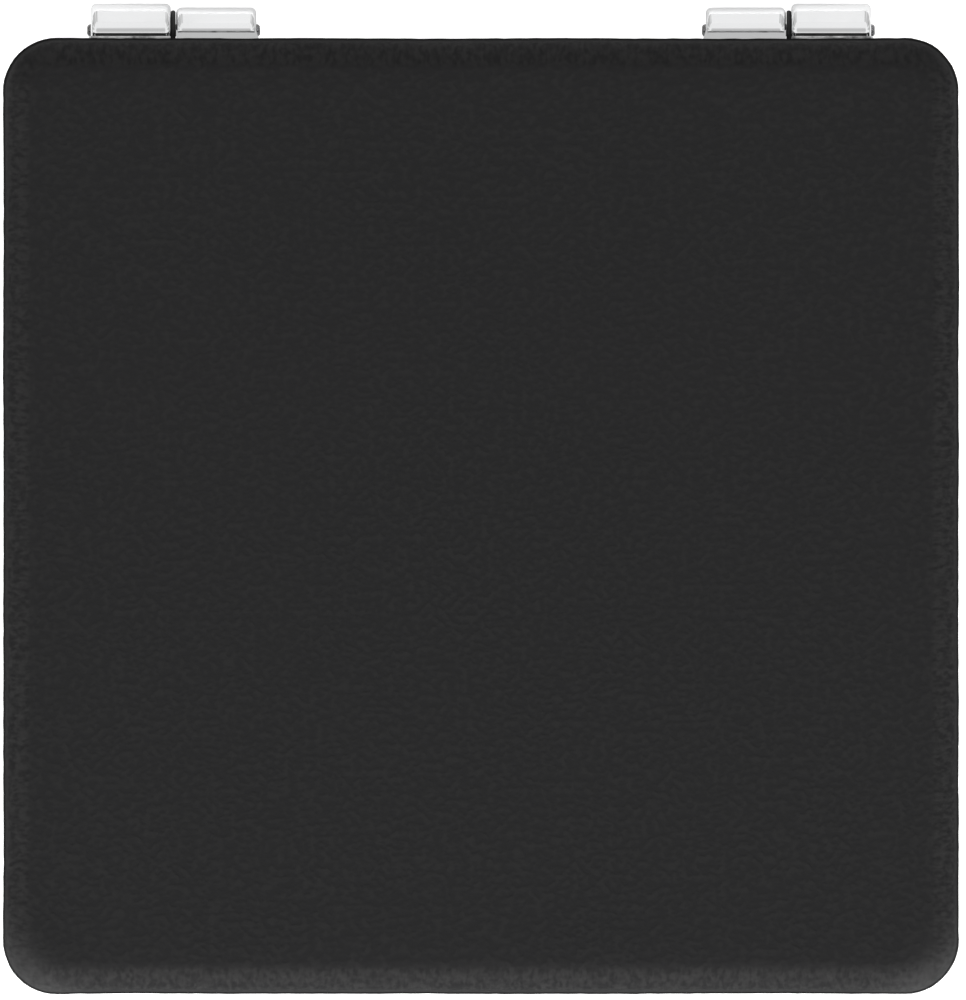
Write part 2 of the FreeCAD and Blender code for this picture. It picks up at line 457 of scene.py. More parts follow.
class Shader(Nodes):
    """Node tree of one material, with lengths in millimetres."""

    def __init__(self, name: str) -> None:
        """Starts a material with a Principled surface.

        Args:
            name: Name of the material.
        """
        self.material: Material = bpy.data.materials.new(name)
        self.material.use_nodes = True
        super().__init__(self.material.node_tree)
        self.tree.nodes.clear()
        self.surface = self.node("ShaderNodeBsdfPrincipled")
        output = self.node("ShaderNodeOutputMaterial")
        self.tree.links.new(self.surface.outputs["BSDF"], output.inputs["Surface"])
        self.coordinates = self.node("ShaderNodeTexCoord")
        self.place = self.scaled(self.coordinates.outputs["Object"], (1 / MM,) * 3)

    def set(self, **values: Value) -> None:
        """Feeds inputs of the surface, with underscores for the spaces in their names."""
        for name, value in values.items():
            self.feed(self.surface.inputs[name.replace("_", " ")], value)

    def scaled(self, vector: NodeSocket, scale: Triple) -> NodeSocket:
        """A place times a factor along each axis."""
        return self.result("ShaderNodeMapping", "Vector", {"Vector": vector, "Scale": scale})

    def shifted(self, vector: NodeSocket, offset: NodeSocket, amount: float) -> NodeSocket:
        """Pushes a place about.

        Args:
            vector: Place to push.
            offset: Push along each axis, from 0 to 1 with none at its middle.
            amount: Largest push either way, in millimetres.

        Returns:
            The pushed place.
        """
        centre = {0: offset, 1: (0.5, 0.5, 0.5)}
        centred = self.result("ShaderNodeVectorMath", "Vector", centre, operation="SUBTRACT")
        push = {0: centred, 1: (2 * amount,) * 3, 2: vector}
        return self.result("ShaderNodeVectorMath", "Vector", push, operation="MULTIPLY_ADD")

    def math(self, operation: Sum, first: Value, second: Value = 0.0) -> NodeSocket:
        """Result of a sum on two values, of which some sums take only the first."""
        return self.result("ShaderNodeMath", "Value", {0: first, 1: second}, operation=operation.value)

    def total(self, *values: Value) -> NodeSocket:
        """Sum of several values."""
        return reduce(lambda first, second: self.math(Sum.ADD, first, second), values)

    def product(self, *values: Value) -> NodeSocket:
        """Product of several values."""
        return reduce(lambda first, second: self.math(Sum.MULTIPLY, first, second), values)

    def noise(
        self, vector: NodeSocket, size: float = 1.0, detail: float = 2.0, drift: Drift = Drift.NUMBER
    ) -> NodeSocket:
        """Soft random field from 0 to 1, with features of a size in millimetres and octaves of detail."""
        inputs = {"Vector": vector, "Scale": 1 / size, "Detail": detail}
        return self.result("ShaderNodeTexNoise", drift.value, inputs)

    def cells(self, vector: NodeSocket, size: float) -> NodeSocket:
        """Distance to the middle of random cells of a size in millimetres, in cell sizes."""
        return self.result("ShaderNodeTexVoronoi", "Distance", {"Vector": vector, "Scale": 1 / size})

    def blend(self, share: Value, first: Tint, second: Tint) -> NodeSocket:
        """Mixes two colours.

        Args:
            share: Share of the second.
            first: First colour.
            second: Second colour.

        Returns:
            The mixed colour.
        """
        inputs: dict[Union[str, int], Value] = {"Factor": share}
        for name, tint in (("A", first), ("B", second)):
            inputs[name] = tint if isinstance(tint, NodeSocket) else (*tint, 1.0)
        return self.result("ShaderNodeMix", "Result", inputs, data_type="RGBA")

    def relief(self, height: NodeSocket) -> None:
        """Gives the surface a relief of a height in millimetres."""
        inputs = {"Height": height, "Strength": 1.0, "Distance": MM}
        self.set(Normal=self.result("ShaderNodeBump", "Normal", inputs))


@dataclass(frozen=True)
class LeatherFinish:
    """Fine-grained black leather, drawn tight, with short wrinkles that mostly lie across the case."""

    name: str = "leather_black"
    tone: Colour = (0.0125, 0.0125, 0.0128)
    # Lighter tops of the grain: partly rubbed, partly painted glints; on the edge's pleats, painted
    # glints.
    rubbed_and_glint: Colour = (0.0165, 0.0164, 0.0164)
    # Painted shade in the hollows of the pleats and on the steep part of the edge.
    painted_edge_shade: Colour = (0.0092, 0.0092, 0.0094)
    # Painted highlight: lighter colour on the two front corners of the edge, where the front lamps catch
    # the padding.
    worn: Colour = (0.0235, 0.0235, 0.0236)
    bend_size: float = 1.9
    bend: float = 0.15
    wrinkle_length: float = 0.43
    wrinkle_height: float = 0.4
    wrinkle_detail: float = 0.7
    wrinkle_relief: float = 0.0115
    wrinkle_ridges: Step = Step(0.3, 0.7)
    patch_size: float = 5.0
    patch_detail: float = 3.0
    patch_depth: Step = Step(0.35, 0.65, 0.7, 1.0)
    front_depth: Step = Step(-30.0, 30.0, 1.4, 0.95)
    pore_size: float = 0.16
    pore_relief: float = 0.0015
    pleat_pitch: float = 0.29
    pleat_length: float = 0.55
    pleat_relief: float = 0.029
    drift_size: float = 9.0
    drift_relief: float = 0.02
    shoulder_foot: Step = Step(0.3, 0.6)
    shoulder_crest: Step = Step(0.96, 0.999, 1.0, 0.0)
    # Lighter fold ridges on the flat face: partly rubbed grain tops, partly painted glints.
    flat_rubbing_and_glint: Step = Step(0.4, 0.8, 0.0, 0.75)
    # Painted glints on the pleat crests and painted shade in their hollows.
    pleat_glint_and_shade: Step = Step(0.25, 0.75)
    # Painted shade: darker where the edge falls steeply, lighter towards the flat top.
    edge_slope_shade: Step = Step(0.7, 0.95, -0.15, 0.2)
    # Painted highlight mask: only the front corners, where |x| - y is largest.
    front_corner_highlight: Step = Step(55.0, 60.0)
    pleat_highlight: Step = Step(0.25, 0.75, 0.5, 1.0)
    gloss_size: float = 12.0
    gloss: Step = Step(0.6, 1.4, 0.5, 0.62)
    specular: float = 0.04

    def material(self) -> Material:
        """Builds the finish.

        Returns:
            The leather.
        """
        shader = Shader(self.name)
        place = shader.axes(shader.place)
        facing = shader.axes(shader.coordinates.outputs["Normal"])
        upright = shader.math(Sum.ABSOLUTE, facing["Z"])
        bend = shader.noise(shader.place, self.bend_size, drift=Drift.VECTOR)
        flowing = shader.shifted(shader.place, bend, self.bend)
        lying = (1 / self.wrinkle_length, 1 / self.wrinkle_height, 1 / self.wrinkle_height)
        folds = shader.noise(shader.scaled(flowing, lying), detail=self.wrinkle_detail)
        patches = shader.noise(shader.place, self.patch_size, self.patch_detail)
        depth = shader.product(
            shader.ramp(patches, self.patch_depth), shader.ramp(place["Y"], self.front_depth)
        )
        shoulder = shader.product(
            shader.ramp(upright, self.shoulder_foot), shader.ramp(upright, self.shoulder_crest)
        )
        streaks = self.streaks(shader, flowing, facing)
        shader.relief(
            shader.total(
                shader.product(depth, shader.ramp(folds, self.wrinkle_ridges), self.wrinkle_relief),
                shader.product(shader.noise(flowing, self.pore_size, 1.0), self.pore_relief),
                shader.product(shoulder, shader.math(Sum.SUBTRACT, streaks, 0.5), self.pleat_relief),
                shader.product(shader.noise(shader.place, self.drift_size, 1.0), self.drift_relief),
            )
        )
        # Flat face: the fold ridges are lighter, partly rubbed grain tops and partly painted glints.
        flat = shader.blend(shader.ramp(folds, self.flat_rubbing_and_glint), self.tone, self.rubbed_and_glint)
        # Painted glints and painted shade on the pleats of the edge, darker where the edge falls steeply.
        painted_edge_share = shader.total(
            shader.ramp(streaks, self.pleat_glint_and_shade), shader.ramp(upright, self.edge_slope_shade)
        )
        painted_edge_flecks = shader.blend(painted_edge_share, self.painted_edge_shade, self.rubbed_and_glint)
        # Painted highlight on the two front corners, broken up by the pleats.
        corner = shader.math(Sum.SUBTRACT, shader.math(Sum.ABSOLUTE, place["X"]), place["Y"])
        corner_highlight_share = shader.product(shader.ramp(corner, self.front_corner_highlight), shader.ramp(streaks, self.pleat_highlight))
        gloss = shader.total(folds, shader.noise(shader.place, self.gloss_size))
        shader.set(
            Base_Color=shader.blend(corner_highlight_share, shader.blend(shoulder, flat, painted_edge_flecks), self.worn),
            Roughness=shader.ramp(gloss, self.gloss),
            Specular_IOR_Level=self.specular,
        )
        return shader.material

    def streaks(self, shader: Shader, flowing: NodeSocket, facing: dict[str, NodeSocket]) -> NodeSocket:
        """Draws short pleats that run over the edge that they lie on.

        Args:
            shader: The leather's node tree.
            flowing: Place on the leather, with its bends.
            facing: Direction that the surface faces.

        Returns:
            A field from 0 to 1.
        """
        narrow, long = 1 / self.pleat_pitch, 1 / self.pleat_length
        across = shader.noise(shader.scaled(flowing, (narrow, long, long)), detail=1.0)
        down = shader.noise(shader.scaled(flowing, (long, narrow, long)), detail=1.0)
        front = shader.product(facing["Y"], facing["Y"])
        side = shader.product(facing["X"], facing["X"])
        share = shader.math(Sum.DIVIDE, front, shader.total(front, side, NEAR))
        rest = shader.math(Sum.SUBTRACT, 1.0, share)
        return shader.total(shader.product(across, share), shader.product(down, rest))


@dataclass(frozen=True)
class ChromeFinish:
    """Bright plating on a casting, with a faint ripple and handling marks."""

    name: str = "chrome_plate"
    tone: Colour = (0.875, 0.88, 0.885)
    hazed: Colour = (0.85, 0.855, 0.86)
    haze_size: float = 7.0
    haze_detail: float = 3.0
    haze: Step = Step(0.4, 0.8)
    gloss: Step = Step(0.0, 1.0, 0.05, 0.11)
    mark_widths: Span = (0.05, 0.06)
    marks: Step = Step(0.72, 0.8)
    mark_roughness: float = 0.08
    ripple_size: float = 1.6
    ripple: float = 0.004

    def material(self) -> Material:
        """Builds the finish, with marks a millimetre long both ways.

        Returns:
            The plating.
        """
        shader = Shader(self.name)
        haze = shader.ramp(shader.noise(shader.place, self.haze_size, self.haze_detail), self.haze)
        across, along = self.mark_widths
        first = shader.noise(shader.scaled(shader.place, (across, 1.0, 1.0)), across, 1.0)
        second = shader.noise(shader.scaled(shader.place, (1.0, along, 1.0)), along, 1.0)
        marks = shader.ramp(shader.math(Sum.MAXIMUM, first, second), self.marks)
        shader.relief(shader.product(shader.noise(shader.place, self.ripple_size, 1.0), self.ripple))
        shader.set(
            Base_Color=shader.blend(haze, self.tone, self.hazed),
            Metallic=1.0,
            Roughness=shader.total(
                shader.ramp(haze, self.gloss), shader.product(marks, self.mark_roughness)
            ),
        )
        return shader.material


@dataclass(frozen=True)
class SilveringFinish:
    """Silvered glass, clean but for a faint bloom of handling and a few specks of dust."""

    name: str = "mirror_silver"
    tone: Colour = (0.78, 0.82, 0.815)
    bloomed: Colour = (0.75, 0.79, 0.785)
    bloom_size: float = 14.0
    bloom_detail: float = 3.0
    bloom: Step = Step(0.5, 0.85)
    gloss: Step = Step(0.0, 1.0, 0.006, 0.03)
    dust_pitch: float = 3.5
    dust: Step = Step(0.012, 0.03, 1.0, 0.0)
    dust_roughness: float = 0.3

    def material(self) -> Material:
        """Builds the finish.

        Returns:
            The silvering.
        """
        shader = Shader(self.name)
        bloom = shader.ramp(shader.noise(shader.place, self.bloom_size, self.bloom_detail), self.bloom)
        dust = shader.ramp(shader.cells(shader.place, self.dust_pitch), self.dust)
        shader.set(
            Base_Color=shader.blend(bloom, self.tone, self.bloomed),
            Metallic=1.0,
            Roughness=shader.total(
                shader.ramp(bloom, self.gloss), shader.product(dust, self.dust_roughness)
            ),
        )
        return shader.material


@dataclass(frozen=True)
class GlassEdgeFinish:
    """Ground and polished rim of the glass, with its green depth."""

    name: str = "mirror_edge"
    tone: Colour = (0.42, 0.52, 0.47)
    ground: Colour = (0.60, 0.68, 0.64)
    stretch: Triple = (1.0, 1.0, 0.15)
    line_size: float = 0.12
    line_relief: float = 0.002
    gloss: Step = Step(0.3, 0.7, 0.06, 0.16)
    metallic: float = 0.55

    def material(self) -> Material:
        """Builds the finish.

        Returns:
            The ground glass.
        """
        shader = Shader(self.name)
        lines = shader.noise(shader.scaled(shader.place, self.stretch), self.line_size)
        shader.relief(shader.product(lines, self.line_relief))
        shader.set(
            Base_Color=shader.blend(lines, self.tone, self.ground),
            Metallic=self.metallic,
            Roughness=shader.ramp(lines, self.gloss),
        )
        return shader.material


@dataclass(frozen=True)
class DrawnMetalFinish:
    """Plain metal with fine lines round or along it and slight staining, which in the slot and crease
    finishes is painted shade.
    """

    name: str
    tone: Colour
    stain_and_shade_tone: Colour
    stretch: Triple
    line_size: float = 0.05
    line_relief: float = 0.002
    gloss: Step = Step(0.3, 0.7, 0.16, 0.3)
    stain_size: float = 0.9
    stain_detail: float = 3.0
    stain_and_shade: Step = Step(0.45, 0.75)

    def material(self) -> Material:
        """Builds the finish.

        Returns:
            The metal.
        """
        shader = Shader(self.name)
        lines = shader.noise(shader.scaled(shader.place, self.stretch), self.line_size)
        # Staining on the pin and magnet; painted shade in the slot and crease finishes.
        stain_and_shade = shader.ramp(shader.noise(shader.place, self.stain_size, self.stain_detail), self.stain_and_shade)
        shader.relief(shader.product(lines, self.line_relief))
        shader.set(
            Base_Color=shader.blend(stain_and_shade, self.tone, self.stain_and_shade_tone),
            Metallic=1.0,
            Roughness=shader.ramp(lines, self.gloss),
        )
        return shader.material


@dataclass(frozen=True)
class FibreFinish:
    """Dull card, foam, tape or nylon: specks, fibres and a soft surface."""

    name: str
    tone: Colour
    fleck: Colour
    fibre_size: float
    relief: float
    fibre_detail: float = 4.0
    pit_pitch: float = 2.5
    flecks: Step = Step(0.4, 0.7)
    gloss: Step = Step(0.1, 0.6, 0.78, 0.92)

    def material(self) -> Material:
        """Builds the finish.

        Returns:
            The dull material.
        """
        shader = Shader(self.name)
        fibres = shader.noise(shader.place, self.fibre_size, self.fibre_detail)
        pits = shader.cells(shader.place, self.fibre_size * self.pit_pitch)
        shader.relief(shader.product(shader.total(fibres, pits), self.relief))
        shader.set(
            Base_Color=shader.blend(shader.ramp(fibres, self.flecks), self.tone, self.fleck),
            Roughness=shader.ramp(pits, self.gloss),
        )
        return shader.material


@dataclass
class Cover:
    """Leather skin of one padded cover, turned in under its board."""

    half: Half
    corner_radius: float = 3.5
    edge_radius: float = 2.1
    edge_facets: int = 12
    fold_radius: float = 0.62
    fold_facets: int = 5
    turn_in: float = 5.0
    thickness: float = 0.5
    pitch: float = 0.5
    crown: float = 0.1
    sway: float = 0.045
    sway_pitch: float = 6.5
    pucker: float = 0.02
    pucker_pitch: float = 0.9
    pucker_height: float = 5.0
    reach: Vector = field(init=False)

    def __post_init__(self) -> None:
        """Takes the skin's reach from its node."""
        self.reach = self.half.box("leather")[1].xy

    def build(self) -> BMesh:
        """Shapes the skin.

        Returns:
            An open shell, with its outside at the node's box.
        """
        low, high = self.half.box("leather")
        bm = rounded_block(self.reach, self.corner_radius, low.z, high.z)
        round_edges(bm, edges_at(bm, high.z), self.edge_radius, self.edge_facets)
        round_edges(bm, edges_at(bm, low.z), self.fold_radius, self.fold_facets)
        self.divide(bm)
        self.open_underside(bm, low.z)
        self.draw_tight(bm, high.z)
        return bm

    def divide(self, bm: BMesh) -> None:
        """Cuts the skin into even strips both ways, so that it can follow its padding.

        Args:
            bm: Skin to cut.
        """
        for axis in (Vector((1.0, 0.0, 0.0)), Vector((0.0, 1.0, 0.0))):
            span = self.reach.dot(axis.xy) - self.corner_radius
            strips = round(2 * span / self.pitch)
            for strip in range(strips + 1):
                slice_at(bm, axis * (-span + strip * 2 * span / strips), axis)

    def open_underside(self, bm: BMesh, low: float) -> None:
        """Takes out the faces between the turned-in edges.

        Args:
            bm: Skin to open.
            low: Height of its underside.
        """
        inner = self.reach - Vector((self.turn_in, self.turn_in))
        window = []
        for face in bm.faces:
            middle = face.calc_center_median()
            if abs(middle.z - low) < NEAR and abs(middle.x) < inner.x and abs(middle.y) < inner.y:
                window.append(face)
        bmesh.ops.delete(bm, geom=window, context="FACES")

    def draw_tight(self, bm: BMesh, top: float) -> None:
        """Lets the skin fall off towards its edge, sway along it and pucker round it.

        Args:
            bm: Skin to shape.
            top: Height of its flat face.
        """
        bm.normal_update()
        moves = []
        for vert in bm.verts:
            x, y, z = vert.co
            fall = 1 - (1 - (x / self.reach.x) ** 2) * (1 - (y / self.reach.y) ** 2)
            outward = Vector((vert.normal.x, vert.normal.y, 0.0))
            swayed = noise.noise(Vector((x, y, 0.0)) / self.sway_pitch) * self.sway
            ripple = Vector((x / self.pucker_pitch, y / self.pucker_pitch, z / self.pucker_height))
            puckered = noise.noise(ripple) * self.pucker
            lift = -self.crown * fall if z > top - self.edge_radius else 0.0
            moves.append((vert, outward * (swayed + puckered) + Vector((0.0, 0.0, lift))))
        for vert, move in moves:
            vert.co += move

    def dress(self, bm: BMesh, finish: Material) -> Object:
        """Makes the piece, with its thickness inwards.

        Args:
            bm: The skin.
            finish: Its leather.

        Returns:
            The finished piece.
        """
        piece = in_place(bm, self.half, self.half.node("cover"), finish)
        smooth_all(piece)
        wall = piece.modifiers.new("thickness", "SOLIDIFY")
        wall.thickness = self.thickness * MM
        wall.offset = -1.0
        return settle(piece, self.half.value, self.half.node("leather"))


@dataclass
class HingeLayout:
    """Knuckles of both hinges along the back edge, outer ones on the base and inner ones on the lid."""

    knuckle_length: float = 5.2
    gap: float = 0.35
    clearance: float = 0.15
    pin_running: float = 0.04

    def middles(self) -> list[float]:
        """Middle of each hinge along X."""
        return [sum(corner.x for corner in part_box(f"hinge_pin_{side.value}")) / 2 / MM for side in Side]

    def span(self, middle: float, half: Half) -> Span:
        """Finds one half's knuckle in a hinge.

        Args:
            middle: The hinge's middle.
            half: Which half's knuckle.

        Returns:
            Its lowest and highest X.
        """
        away = math.copysign(1.0, middle) if half is Half.BASE else -math.copysign(1.0, middle)
        near = middle + away * self.gap / 2
        far = near + away * self.knuckle_length
        return min(near, far), max(near, far)

    @staticmethod
    def pin_radius() -> float:
        """Radius of the pins."""
        low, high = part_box("hinge_pin_left")
        return (high.z - low.z) / 2 / MM

    @staticmethod
    def radius(half: Half) -> float:
        """Radius of one half's barrels."""
        return half.box("frame")[1].y - HINGE_LINE.y


@dataclass
class Frame:
    """Cast frame of one half: a tray with a flat rim, and its hinge knuckles."""

    half: Half
    hinges: HingeLayout
    corner_radius: float = 3.1
    rim_width: float = 4.0
    rim_edge_radius: float = 0.25
    rim_edge_facets: int = 4
    web: float = 0.3
    pocket_radius: float = 2.1
    socket_radius: float = 1.55
    socket_facets: int = 48
    bore_facets: int = 32
    room_facets: int = 72
    lip_reach: float = 0.2
    lip_edge_radius: float = 0.06
    lip_edge_facets: int = 3
    barrel_facets: int = 96
    end_radius: float = 0.35
    end_facets: int = 6
    end_land: float = 0.1
    root_step: float = 0.12
    root_step_back: float = 0.05
    root_lift: float = 0.02
    step_radius: float = 0.115
    step_facets: int = 3
    step_overrun: float = 1.0
    slot_back: float = 0.2
    slot_wall: float = 0.4
    slot_end_wall: float = 0.3
    flare: float = 0.3
    rim_z: float = field(init=False)
    top_z: float = field(init=False)
    root_z: float = field(init=False)
    barrel_radius: float = field(init=False)
    reach: Vector = field(init=False)

    def __post_init__(self) -> None:
        """Takes the frame's heights, reach and barrels from its node."""
        low, high = self.half.box("frame")
        self.rim_z = self.half.box("magnet_left")[0].z
        self.top_z = high.z
        self.reach = Vector((high.x, -low.y))
        self.barrel_radius = self.hinges.radius(self.half)
        self.root_z = self.barrel_radius - self.root_step

    def build(self) -> Object:
        """Casts the frame and cuts its sockets, bores and hinge room.

        Returns:
            The casting, in millimetres.
        """
        mate = Half.LID if self.half is Half.BASE else Half.BASE
        middles = self.hinges.middles()
        piece = self.tray()
        carve(piece, [self.lip(self.hinges.span(middle, mate)) for middle in middles], Cut.JOIN)
        carve(piece, [self.room(self.hinges.span(middle, mate), mate) for middle in middles], Cut.REMOVE)
        carve(piece, [self.knuckle(middle) for middle in middles], Cut.JOIN)
        carve(piece, [*self.sockets(), *self.bores(middles)], Cut.REMOVE)
        return piece

    def tray(self) -> Object:
        """Makes a block with round corners, a pocket for the mirror and rounded edges on the rim.

        Returns:
            A closed solid.
        """
        block = rounded_block(self.reach, self.corner_radius, self.rim_z, self.top_z)
        piece = as_object(block, self.half.node("casting"))
        for _ in Zone:
            piece.data.materials.append(None)
        inner = self.reach - Vector((self.rim_width, self.rim_width))
        pocket = rounded_block(inner, self.pocket_radius, -self.top_z, self.top_z - self.web)
        carve(piece, [as_object(pocket, "pocket")], Cut.REMOVE)
        bm = bmesh.new()
        bm.from_mesh(piece.data)
        rims = [e for e in edges_at(bm, self.rim_z) if e.calc_face_angle(0.0) > SHARP_BEND]
        round_edges(bm, rims, self.rim_edge_radius, self.rim_edge_facets)
        bm.to_mesh(piece.data)
        bm.free()
        return piece

    def lip(self, span: Span) -> Object:
        """Makes the thin ledge over a knuckle of the other half.

        Args:
            span: The knuckle's ends.

        Returns:
            A closed solid.
        """
        inner = self.reach.y - self.rim_width / 2
        edge = self.half.box("leather")[1].y + self.lip_reach
        underside = Vector((span[0], inner, self.top_z - self.web))
        bm = box_between(underside, Vector((span[1], edge, self.top_z)))
        round_edges(bm, bm.edges, self.lip_edge_radius, self.lip_edge_facets)
        # The whole ledge gets painted shade, as under the leather's edge.
        for face in bm.faces:
            face.material_index = Zone.CREASE
        return as_object(bm, "lip")

    def room(self, span: Span, mate: Half) -> Object:
        """Makes the space that a knuckle of the other half turns in.

        Args:
            span: The knuckle's ends.
            mate: The other half.

        Returns:
            A closed solid.
        """
        radius = self.hinges.radius(mate) + self.hinges.clearance
        length = span[1] - span[0] + 2 * self.hinges.gap
        return as_object(along_hinge(rod(radius, length, self.room_facets), sum(span) / 2), "room")

    def sockets(self) -> list[Object]:
        """Makes the blind holes for the magnets in the front rim.

        Returns:
            Closed solids.
        """
        made = []
        for side in Side:
            low, high = self.half.box(f"magnet_{side.value}")
            bm = rod(self.socket_radius, 2 * (high.z - low.z), self.socket_facets)
            middle = (low + high) / 2
            bmesh.ops.translate(bm, vec=(middle.x, middle.y, low.z), verts=bm.verts)
            made.append(as_object(bm, "socket"))
        return made

    def bores(self, middles: Sequence[float]) -> list[Object]:
        """Makes the holes for the pins through this half's knuckles.

        Args:
            middles: Middle of each hinge along X.

        Returns:
            Closed solids.
        """
        radius = self.hinges.pin_radius() + self.hinges.pin_running
        made = []
        for middle in middles:
            low, high = self.hinges.span(middle, self.half)
            bm = rod(radius, high - low + 2 * self.flare, self.bore_facets)
            made.append(as_object(along_hinge(bm, (low + high) / 2), "bore"))
        return made

    def knuckle(self, middle: float) -> Object:
        """Makes a barrel that steps down to a root, with a slot below.

        Args:
            middle: Middle of its hinge along X.

        Returns:
            A closed solid.
        """
        span = self.hinges.span(middle, self.half)
        barrel = self.barrel(span)
        carve(barrel, [self.above_root(span), self.slot(span)], Cut.REMOVE)
        carve(barrel, [self.root(middle)], Cut.JOIN)
        return barrel

    def barrel(self, span: Span) -> Object:
        """Makes a barrel with round ends.

        Args:
            span: Its ends.

        Returns:
            A closed solid.
        """
        low, high = span
        half_length = (high - low) / 2
        bm = rod(self.barrel_radius, high - low, self.barrel_facets)
        ends = edges_at(bm, half_length) + edges_at(bm, -half_length)
        round_edges(bm, ends, self.end_radius, self.end_facets)
        straight = Vector((0.0, 0.0, half_length - self.end_radius - self.end_land))
        for place in (straight, -straight):
            slice_at(bm, place, straight)
        barrel = as_object(along_hinge(bm, (low + high) / 2), "barrel")
        for _ in Zone:
            barrel.data.materials.append(None)
        return barrel

    def above_root(self, span: Span) -> Object:
        """Makes what is cut away from a barrel above its root.

        Args:
            span: The barrel's ends.

        Returns:
            A closed solid.
        """
        inner, back = HINGE_LINE.y - 2 * self.barrel_radius, HINGE_LINE.y - self.root_step_back
        bm = box_between(
            Vector((span[0] - self.step_overrun, inner, self.root_z)),
            Vector((span[1] + self.step_overrun, back, 2 * self.barrel_radius)),
        )
        round_edges(bm, bm.edges, self.step_radius, self.step_facets)
        bm.normal_update()
        # The step's walls get painted shade; the face that becomes the root's top stays plated.
        for face in bm.faces:
            face.material_index = Zone.PLATED if face.normal.z < NEAR - 1 else Zone.CREASE
        return as_object(bm, "step")

    def slot(self, span: Span) -> Object:
        """Makes the slot under a barrel, short of both its ends.

        Args:
            span: The barrel's ends.

        Returns:
            A closed solid.
        """
        inner, back = HINGE_LINE.y - 2 * self.barrel_radius, HINGE_LINE.y - self.slot_back
        top = -self.hinges.pin_radius() - self.slot_wall
        bm = box_between(
            Vector((span[0] + self.slot_end_wall, inner, -2 * self.barrel_radius)),
            Vector((span[1] - self.slot_end_wall, back, top)),
        )
        # Dark metal on the slot's faces: painted shade for the shadow inside the slot.
        for face in bm.faces:
            face.material_index = Zone.RECESS
        return as_object(bm, "slot")

    def root(self, middle: float) -> Object:
        """Makes the foot of a knuckle, wider where it meets the frame on its free side.

        Args:
            middle: Middle of its hinge along X.

        Returns:
            A closed solid.
        """
        low, high = self.hinges.span(middle, self.half)
        inner = self.reach.y - self.rim_width / 2
        underside = self.rim_z + self.root_lift
        bm = box_between(Vector((low, inner, underside)), Vector((high, HINGE_LINE.y, self.root_z)))
        free = high if (middle > 0) == (self.half is Half.BASE) else low
        outward = math.copysign(self.flare, free - (low + high) / 2)
        slice_at(bm, Vector((0.0, self.reach.y, 0.0)), Vector((0.0, 1.0, 0.0)))
        flared = [v for v in bm.verts if abs(v.co.x - free) < NEAR and v.co.y < self.reach.y + NEAR]
        bmesh.ops.translate(bm, vec=(outward, 0.0, 0.0), verts=flared)
        return as_object(bm, "root")

    def dress(self, piece: Object, finishes: dict[Zone, Material]) -> Object:
        """Puts the casting in place and plates it.

        Args:
            piece: The casting.
            finishes: Finish of each of its surfaces.

        Returns:
            The finished piece.
        """
        piece.data.transform(self.half.placement())
        for zone, finish in finishes.items():
            piece.data.materials[zone] = finish
        mark_corners(piece)
        return settle(piece, self.half.value, self.half.node("frame"))


@dataclass
class Mirror:
    """Glass of one half, with a bevelled rim."""

    half: Half
    corner_radius: float = 2.0
    bevel: float = 0.3
    bevel_facets: int = 1

    def build(self) -> BMesh:
        """Cuts the glass and grinds its front edge.

        Returns:
            A closed solid.
        """
        low, high = self.half.box("mirror")
        bm = rounded_block((high - low).xy / 2, self.corner_radius, low.z, high.z)
        round_edges(bm, edges_at(bm, low.z), self.bevel, self.bevel_facets)
        for face in bm.faces:
            face.material_index = 0 if face.normal.z < -1 + NEAR else 1
        return bm

    def dress(self, bm: BMesh, silver: Material, edge: Material) -> Object:
        """Puts the glass in its pocket, silver on its face and the edge's finish on its rim and back."""
        piece = in_place(bm, self.half, self.half.node("glass"), silver, edge)
        return settle(piece, self.half.value, self.half.node("mirror"))


@dataclass
class Magnet:
    """Disc magnet in the front rim of one half."""

    half: Half
    side: Side
    facets: int = 64
    edge_radius: float = 0.12
    edge_facets: int = 3

    def build(self) -> BMesh:
        """Turns the disc.

        Returns:
            A closed solid.
        """
        low, high = self.half.box(f"magnet_{self.side.value}")
        bm = rod((high.x - low.x) / 2, high.z - low.z, self.facets)
        bmesh.ops.translate(bm, vec=(low + high) / 2, verts=bm.verts)
        round_edges(bm, edges_at(bm, low.z) + edges_at(bm, high.z), self.edge_radius, self.edge_facets)
        return bm

    def dress(self, bm: BMesh, finish: Material) -> Object:
        """Plates the disc and puts it in its socket.

        Args:
            bm: The disc.
            finish: Its plating.

        Returns:
            The finished piece.
        """
        piece = in_place(bm, self.half, self.half.node(f"disc_{self.side.value}"), finish)
        mark_corners(piece)
        return settle(piece, self.half.value, self.half.node(f"magnet_{self.side.value}"))


@dataclass
class HingePart:
    """Round piece on the hinge line that stays with the base."""

    side: Side
    kind: ClassVar[str]
    slot: ClassVar[str]

    def box(self) -> tuple[Vector, Vector]:
        """Lowest and highest corner of the piece's node, in millimetres."""
        low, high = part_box(f"hinge_{self.kind}_{self.side.value}")
        return low / MM, high / MM

    def dress(self, bm: BMesh, finish: Material) -> Object:
        """Puts the piece in its hinge.

        Args:
            bm: The piece's mesh.
            finish: Its material.

        Returns:
            The finished piece.
        """
        piece = in_place(bm, Half.LID, f"{self.kind}_{self.side.value}", finish)
        mark_corners(piece)
        return settle(piece, Half.BASE.value, f"hinge_{self.kind}_{self.side.value}")


